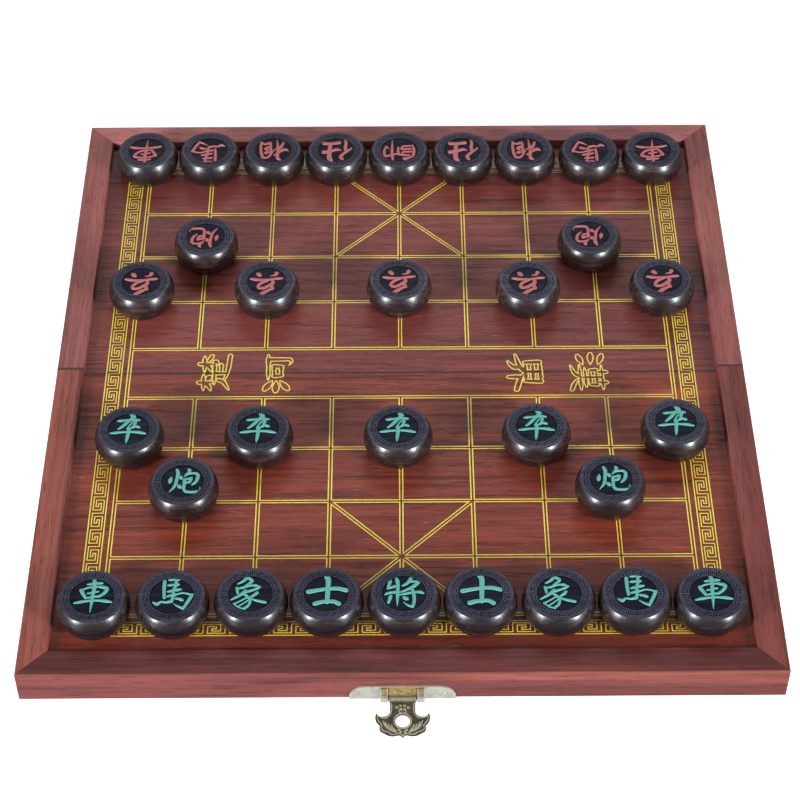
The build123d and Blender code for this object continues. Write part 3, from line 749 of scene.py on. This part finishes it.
# Each character's brush weight, and its strokes in a square of 100
CHARACTERS = {
    "chariot": (4.6, (
        ("pin", (50, 108), (54, 94), (54, 80), (52, 58), (51, 33), (49, 3)),
        ("across", (35, 89), (55, 92), (74, 93)), ("thin", (20, 70), (34, 78), (52, 81), (70, 82)),
        ("down", (20, 71), (26, 60), (34, 47)),
        ("left", (70, 82), (84, 78), (87, 72), (80, 61), (68, 52), (58, 50)),
        ("thin", (33, 46), (52, 50), (70, 53)), ("thin", (38, 61), (52, 64), (65, 67)),
        ("beam", (5, 31), (28, 36), (54, 39), (80, 38), (102, 34)),
    )),
    "horse": (4.6, (
        ("down", (29, 97), (29, 70), (31, 45)),
        ("bend", (59, 102), (59, 85), (54, 68), (54, 48), (50, 34)),
        ("across", (39, 101), (54, 103), (70, 103)), ("across", (38, 84), (52, 86), (67, 87)),
        ("across", (38, 64), (54, 68), (73, 72)), ("across", (37, 49), (50, 53), (62, 56)),
        ("thin", (61, 55), (76, 60), (92, 58), (102, 53)), ("down", (103, 54), (96, 38), (83, 12)),
        ("hook", (83, 12), (70, 18), (56, 27)), ("across", (60, 43), (70, 42), (80, 37)),
        ("wave", (3, 31), (13, 26), (24, 33), (36, 31), (50, 35)),
    )),
    "elephant_green": (3.9, (
        ("left", (40, 103), (30, 92), (16, 83)), ("down", (41, 103), (53, 93), (43, 82), (30, 70)),
        ("across", (14, 68), (28, 71), (46, 77), (62, 78), (73, 73)),
        ("bend", (73, 73), (62, 66), (46, 60), (32, 55)), ("down", (14, 70), (17, 54)),
        ("left", (38, 62), (22, 47), (0, 33)), ("bend", (33, 52), (44, 42), (50, 30), (46, 16), (35, 6)),
        ("thin", (35, 6), (22, 9), (8, 21)), ("thin", (45, 43), (30, 33), (12, 22)),
        ("thin", (48, 34), (36, 24), (22, 14)), ("left", (68, 56), (60, 48), (50, 41)),
        ("right", (49, 38), (66, 31), (90, 25)),
    )),
    "advisor_green": (6.6, (
        ("down", (47, 108), (54, 96), (54, 70), (53, 44), (52, 24)),
        ("bar", (3, 57), (27, 62), (54, 66), (80, 67), (103, 61)),
        ("bar", (21, 20), (38, 25), (56, 27), (72, 26), (83, 19)),
    )),
    "general_green": (4.4, (
        ("down", (14, 91), (8, 68)), ("across", (7, 67), (18, 71), (30, 75)),
        ("across", (0, 48), (13, 54), (38, 55)), ("down", (15, 43), (9, 23)),
        ("pin", (30, 99), (34, 82), (33, 48), (32, 13)), ("left", (71, 103), (60, 85), (46, 75)),
        ("across", (66, 88), (78, 89), (88, 86)), ("left", (88, 85), (74, 73), (58, 63), (42, 56)),
        ("across", (38, 47), (65, 53), (88, 56), (101, 52)),
        ("down", (72, 62), (76, 44), (76, 25), (72, 10)), ("hook", (72, 10), (59, 15), (48, 25)),
        ("dot", (46, 41), (59, 33)),
    )),
    "soldier_green": (4.6, (
        ("dot", (49, 105), (64, 95)), ("down", (60, 97), (50, 80)),
        ("beam", (17, 81), (35, 83), (56, 86), (78, 84)), ("left", (47, 79), (34, 64), (21, 52)),
        ("thin", (60, 78), (51, 64), (46, 54)), ("down", (67, 77), (65, 66)),
        ("across", (58, 56), (68, 62), (80, 58)), ("thin", (64, 66), (56, 55), (50, 50)),
        ("beam", (0, 37), (22, 40), (49, 42), (76, 41), (98, 36)),
        ("pin", (51, 56), (50, 38), (48, 20), (46, 2)),
    )),
    "cannon": (4.4, (
        ("dot", (19, 67), (15, 46)), ("pin", (32, 91), (36, 78), (34, 58), (30, 36), (16, 14)),
        ("dot", (42, 69), (47, 60)), ("dot", (36, 39), (47, 29)), ("left", (65, 91), (67, 84), (55, 68)),
        ("across", (57, 74), (70, 78), (84, 78), (92, 72)), ("left", (92, 72), (88, 52), (77, 39)),
        ("across", (53, 56), (64, 59), (73, 61)), ("down", (73, 61), (71, 50)),
        ("across", (57, 46), (72, 49)), ("down", (55, 56), (55, 25)),
        ("bend", (55, 25), (61, 16), (80, 14), (98, 16)), ("hook", (101, 17), (100, 24), (98, 31)),
    )),
    "elephant_red": (4.6, (
        ("wedge", (1, 52), (14, 46), (28, 56), (44, 71)),
        ("pin", (27, 92), (34, 86), (35, 72), (34, 50), (36, 24), (39, -1)),
        ("wedge", (32, 48), (23, 30), (18, 14)), ("thin", (36, 37), (49, 53), (57, 70), (69, 84)),
        ("across", (56, 70), (69, 84), (82, 81)), ("down", (82, 82), (87, 60), (89, 34), (88, 13)),
        ("across", (88, 14), (76, 22), (61, 14)), ("down", (57, 68), (57, 44), (59, 15)),
        ("dot", (62, 58), (75, 62)), ("dot", (76, 43), (64, 35)), ("thin", (74, 60), (66, 51), (76, 43)),
    )),
    "advisor_red": (5.2, (
        ("left", (30, 90), (35, 79), (27, 66), (13, 52), (1, 40)),
        ("down", (19, 49), (21, 36), (19, 20), (21, 1)), ("post", (66, 96), (71, 84), (71, 58), (69, 27)),
        ("flare", (34, 49), (50, 46), (68, 55), (88, 58)),
        ("slab", (41, 15), (52, 17), (70, 20), (88, 18)),
    )),
    "general_red": (4.2, (
        ("dot", (26, 96), (37, 87)), ("left", (34, 88), (19, 84), (6, 75)),
        ("pin", (7, 77), (4, 59), (4, 44), (8, 24)), ("across", (16, 72), (30, 73), (44, 71)),
        ("down", (42, 70), (37, 57)), ("across", (8, 57), (38, 57)), ("across", (8, 44), (43, 45)),
        ("down", (43, 44), (39, 32)), ("across", (8, 30), (39, 32)),
        ("down", (50, 70), (54, 55), (53, 37)), ("across", (50, 67), (72, 69), (90, 77), (99, 73)),
        ("down", (96, 75), (98, 55), (92, 33)), ("hook", (92, 33), (87, 37), (82, 44)),
        ("pin", (71, 93), (73, 72), (73, 46), (72, 2)),
    )),
    "soldier_red": (5.4, (
        ("left", (66, 102), (46, 87), (32, 79)), ("down", (31, 79), (35, 66), (30, 54), (34, 44)),
        ("bend", (36, 61), (54, 75), (69, 77), (74, 68), (63, 54), (46, 44)),
        ("beam", (2, 37), (22, 39), (49, 43), (76, 43), (97, 39)),
        ("comma", (21, 16), (26, 24), (40, 28)), ("dot", (66, 29), (78, 17)),
    )),
}
CHARACTER_WIDE, CHARACTER_TALL = 20.2 * MM, 21.4 * MM
CHARACTER_EDGE = 0.22 * MM  # how far the painted strokes' edges are rounded
characters = {}
for kind, (weight, strokes) in CHARACTERS.items():
    paths = [brush_path(stroke, points, weight / 100 * CHARACTER_WIDE, CHARACTER_WIDE, CHARACTER_TALL)
             for stroke, *points in strokes]
    bm = brushed(paths, CHARACTER_WIDE + 3 * MM, CHARACTER_TALL + 3 * MM, step=0.25 * MM,
                 lift=DISC_DEPTH - 0.02 * MM, ease=CHARACTER_EDGE, within=DISC - 0.15 * MM)
    bmesh.ops.translate(bm, verts=bm.verts, vec=(0, 0, MAN_HEIGHT - DISC_DEPTH))
    for face in bm.faces:
        face.smooth = True
    characters[kind] = as_mesh(bm, f"{kind}_character", sharp_from=50)

for node in sorted(frame["nodes"]):
    if not node.startswith(("green_", "red_")):
        continue
    side, kind = node.split("_")[:2]
    low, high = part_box(node)
    turn = Matrix.Rotation(0 if side == "green" else pi, 4, "Z")
    place = Matrix.Translation(((low.x + high.x) / 2, (low.y + high.y) / 2, low.z)) @ turn
    character = characters[kind if kind in characters else f"{kind}_{side}"]
    for part, shape in (("man", turned_man), ("key_ring", key_ring), ("character", character)):
        mesh = shape.copy()
        mesh.name = f"{node}_{part}"
        mesh.transform(place)
        if part == "character":
            mesh.materials.append(green_paint if side == "green" else red_paint)
        piece = add_piece(mesh, node)
        if part == "man":
            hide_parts(node)


# Latch plate. Pale sand-cast brass, nailed to the front wall, with two straps rolled round the pin, their
# broad faces above the knuckle painted browner as the dark reflection in their rounded middle, and a bronze
# panel with a scratched flourish between them.

pale_brass = coated("pale_brass", colour(185, 184, 174), colour(168, 163, 146), 260, metallic=0.45,
                    relief=0.3)
strap_painted_reflection = coated("strap_painted_reflection", colour(132, 112, 74), colour(164, 146, 108), 420, metallic=0.4,
                     relief=0.2)
bronze_panel = coated("bronze_panel", colour(176, 150, 92), colour(132, 108, 62), 420, metallic=0.5,
                      relief=0.3)
rubbed_brass = coated("rubbed_brass", colour(206, 200, 172), colour(172, 166, 138), 500, metallic=0.5)


def eased_copy(node, name, ease, body, slot, *materials):
    """A copy of a part of the frame with its triangles joined and its sharp edges eased, in its stead."""
    bm = bmesh.new()
    bm.from_mesh(frame["nodes"][node].data)
    bmesh.ops.remove_doubles(bm, verts=bm.verts, dist=1e-6)
    bmesh.ops.dissolve_limit(bm, angle_limit=radians(0.5), verts=bm.verts[:], edges=bm.edges[:])
    sharp = [edge for edge in bm.edges if edge.is_manifold and edge.calc_face_angle() > radians(50)]
    bmesh.ops.bevel(bm, geom=sharp, offset=ease, segments=2, profile=0.5, affect="EDGES", material=-1,
                    clamp_overlap=True)
    for face in bm.faces:
        face.smooth = True
    piece = add_piece(as_mesh(bm, name, *materials, sharp_from=30), body)
    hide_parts(node)
    return piece


STRAP_IN, STRAP_OUT = 7.9 * MM, 11.6 * MM  # a strap's sides, from the plate's middle
STRAP_SHADE_FROM = 4.2 * MM  # above the plate's lowest point
plate_low, plate_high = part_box("latch_plate")
plate = eased_copy("latch_plate", "latch_plate_eased", 0.14 * MM, "front_tray", "plate_brass",
                   pale_brass, strap_painted_reflection)
# The straps' broad faces above the knuckle take the browner brass, a painted reflection; their eased edges
# and the knuckle stay pale
for face in plate.data.polygons:
    on_strap = STRAP_IN < abs(face.center.x) < STRAP_OUT and abs(face.normal.x) < 0.3
    if on_strap and face.area > 0.6 * MM ** 2 and face.center.z > plate_low.z + STRAP_SHADE_FROM:
        face.material_index = 1
eased_copy("latch_nails", "latch_nails_eased", 0.12 * MM, "front_tray", "fastener_brass", rubbed_brass)
finish_node("latch_pin", rubbed_brass)

PANEL_WIDE, PANEL_THICK, PANEL_TALL = 14.8 * MM, 0.3 * MM, 8.6 * MM
panel_top = plate_high.z - 0.3 * MM
bm = bmesh.new()
bmesh.ops.create_cube(bm, size=1.0)
bmesh.ops.scale(bm, verts=bm.verts, vec=(PANEL_WIDE, PANEL_THICK, PANEL_TALL))
bmesh.ops.bevel(bm, geom=bm.edges[:], offset=0.1 * MM, segments=2, profile=0.5, affect="EDGES",
                material=-1)
bmesh.ops.translate(bm, verts=bm.verts, vec=(0, wall_y - 1.1 * MM, panel_top - PANEL_TALL / 2))
add_piece(as_mesh(bm, "latch_panel", bronze_panel), "front_tray")

flourish = [brush_path("bend", points, weight * MM, 10 * MM, 6 * MM) for weight, points in (
    (0.22, ((8, 62), (24, 50), (40, 38), (52, 26), (66, 46), (92, 64))),
    (0.18, ((10, 30), (20, 56), (30, 44))),
    (0.18, ((56, 66), (72, 72), (90, 52))),
)]
bm = brushed(flourish, 11 * MM, 7 * MM, step=0.1 * MM, lift=0.1 * MM, ease=0.05 * MM)
bm.transform(Matrix.Translation((0, wall_y - 1.24 * MM, plate_high.z - 4.2 * MM))
             @ Matrix.Rotation(pi / 2, 4, "X"))
add_piece(as_mesh(bm, "latch_squiggle", rubbed_brass), "front_tray")


# Hasp. A cast antique brass leaf on a ribbed knuckle, lying out on the table. A rubbed line follows its edge
# and rings its hole, with a flower, scrolls and a leaf spray at each side in low relief.

old_brass = coated("old_brass", colour(104, 98, 82), colour(72, 70, 60), 340, metallic=0.6, relief=0.3)
# Tan brass for the lower part of the knuckle's ribs, painted shade below their pale tops
rib_painted_shade = coated("rib_painted_shade", colour(150, 132, 86), colour(124, 110, 74), 400, metallic=0.5, relief=0.2)
eased_copy("hasp", "hasp_leaf", 0.13 * MM, "hasp", "antique_brass", old_brass)

HASP_TILT = radians(4.0065)  # the leaf's slope, from its pin down to the table
pin = Vector(next(joint["pos_m"] for joint in frame["joints"] if joint["name"] == "hasp_swing"))
down = Vector((0, -cos(HASP_TILT), -sin(HASP_TILT)))
up = Vector((0, -sin(HASP_TILT), cos(HASP_TILT)))

HOLE_DOWN, HOLE_RING = 12.8, 4.55  # the hole's middle, down from the pin, and the radius of the line round it
# Strokes of the right half, in millimetres across and down from the pin: brush, weight, points
HASP_STROKES = (
    ("bend", 0.24, (5.75, 2.2), (5.75, 6.0), (6.5, 8.8), (8.9, 11.0), (11.4, 10.6), (13.0, 9.3)),
    ("bend", 0.24, (13.1, 9.4), (13.2, 11.6), (12.2, 13.4), (10.9, 15.2), (11.3, 17.2), (9.8, 18.8)),
    ("bend", 0.24, (9.8, 18.8), (7.8, 19.3), (6.0, 20.6), (3.8, 20.7), (2.2, 20.1)),
    ("bend", 0.24, (2.2, 20.1), (1.2, 20.4), (0.0, 21.9)),
    ("dot", 0.42, (0.4, 4.2), (1.5, 3.2)), ("dot", 0.42, (0.4, 5.0), (1.5, 6.0)),
    ("bend", 0.17, (2.2, 4.6), (3.0, 4.0), (3.8, 4.6)), ("bend", 0.17, (2.2, 4.6), (3.0, 5.2), (3.8, 4.6)),
    ("bend", 0.20, (0.3, 6.0), (1.6, 6.4), (1.9, 7.4), (1.1, 8.0), (0.6, 7.4)),
    ("left", 0.50, (3.4, 19.4), (6.2, 17.6), (7.4, 14.6)),
    ("left", 0.50, (4.4, 18.9), (7.6, 17.0), (9.0, 13.4)),
    ("left", 0.50, (5.6, 18.2), (8.6, 16.2), (10.4, 12.6)),
    ("left", 0.50, (4.0, 18.6), (5.4, 16.8), (5.8, 15.0)),
    ("dot", 0.40, (1.0, 18.7), (2.6, 17.9)), ("dot", 0.34, (0.4, 19.2), (1.6, 19.5)),
)
SHEET_DOWN = 12 * MM  # the middle of the drawn sheet, down from the pin


def hasp_path(kind, weight, points, side=1):
    """A stroke's path on the sheet, on the right half or mirrored onto the left one."""
    drawn = [(50 + side * x, 50 - y) for x, y in points]
    path = brush_path(kind, drawn, weight * MM, 100 * MM, 100 * MM)
    return [(x, y + SHEET_DOWN, half_width) for x, y, half_width in path]


relief = [hasp_path(kind, weight, points, side) for kind, weight, *points in HASP_STROKES for side in (1, -1)]
relief.append(hasp_path("bend", 0.30, [(HOLE_RING * cos(k * pi / 8), HOLE_DOWN - HOLE_RING * sin(k * pi / 8))
                                       for k in range(17)]))
bm = brushed(relief, 29 * MM, 24 * MM, step=0.13 * MM, lift=0.16 * MM, ease=0.07 * MM)
leaf_face = Matrix((Vector((1, 0, 0)), -down, up)).transposed().to_4x4()
bm.transform(Matrix.Translation(pin + SHEET_DOWN * down - 0.6 * MM * up) @ leaf_face)
add_piece(as_mesh(bm, "hasp_relief", rubbed_brass), "hasp")

# The knuckle's ribs are fine rings, painted pale on top as a highlight and tan below as shade
RIBS, RIB_STEP, RIB_RADIUS = 22, 0.64 * MM, 1.62 * MM
bm = bmesh.new()
for k in range(RIBS):
    rib = Matrix.Translation(pin + Vector(((k - (RIBS - 1) / 2) * RIB_STEP, 0, 0)))
    bmesh.ops.create_cone(bm, cap_ends=True, segments=24, radius1=RIB_RADIUS, radius2=RIB_RADIUS,
                          depth=0.34 * MM, matrix=rib @ Matrix.Rotation(pi / 2, 4, "Y"))
for face in bm.faces:
    face.material_index = 0 if face.calc_center_median().z > pin.z + 0.9 * MM else 1
add_piece(as_mesh(bm, "hasp_ribs", pale_brass, rib_painted_shade), "hasp")


# Strike plate and staple. The matching plate on the rear wall, of the same pale brass, whose staple comes up
# through the hasp's hole when the box is shut.

finish_node("strike_plate", pale_brass)
finish_node("strike_staple", rubbed_brass)
eased_copy("strike_nails", "strike_nails_eased", 0.12 * MM, "back_tray", "fastener_brass", rubbed_brass)


# Hinges. Two satin brass butt hinges let into the underside along the seam, each with four countersunk screws
# and a pin of the same brighter brass.

hinge_brass = coated("hinge_brass", colour(186, 154, 90), colour(160, 126, 66), 300, metallic=0.85,
                     relief=0.2)
screw_brass = coated("screw_brass", colour(196, 168, 104), colour(164, 134, 76), 500, metallic=0.85,
                     relief=0.2)
for side in ("left", "right"):
    finish_node(f"{side}_hinge_front_leaf", hinge_brass)
    finish_node(f"{side}_hinge_back_leaf", hinge_brass)
    finish_node(f"{side}_hinge_pin", screw_brass)
finish_node("hinge_screws_front", screw_brass)
finish_node("hinge_screws_back", screw_brass)
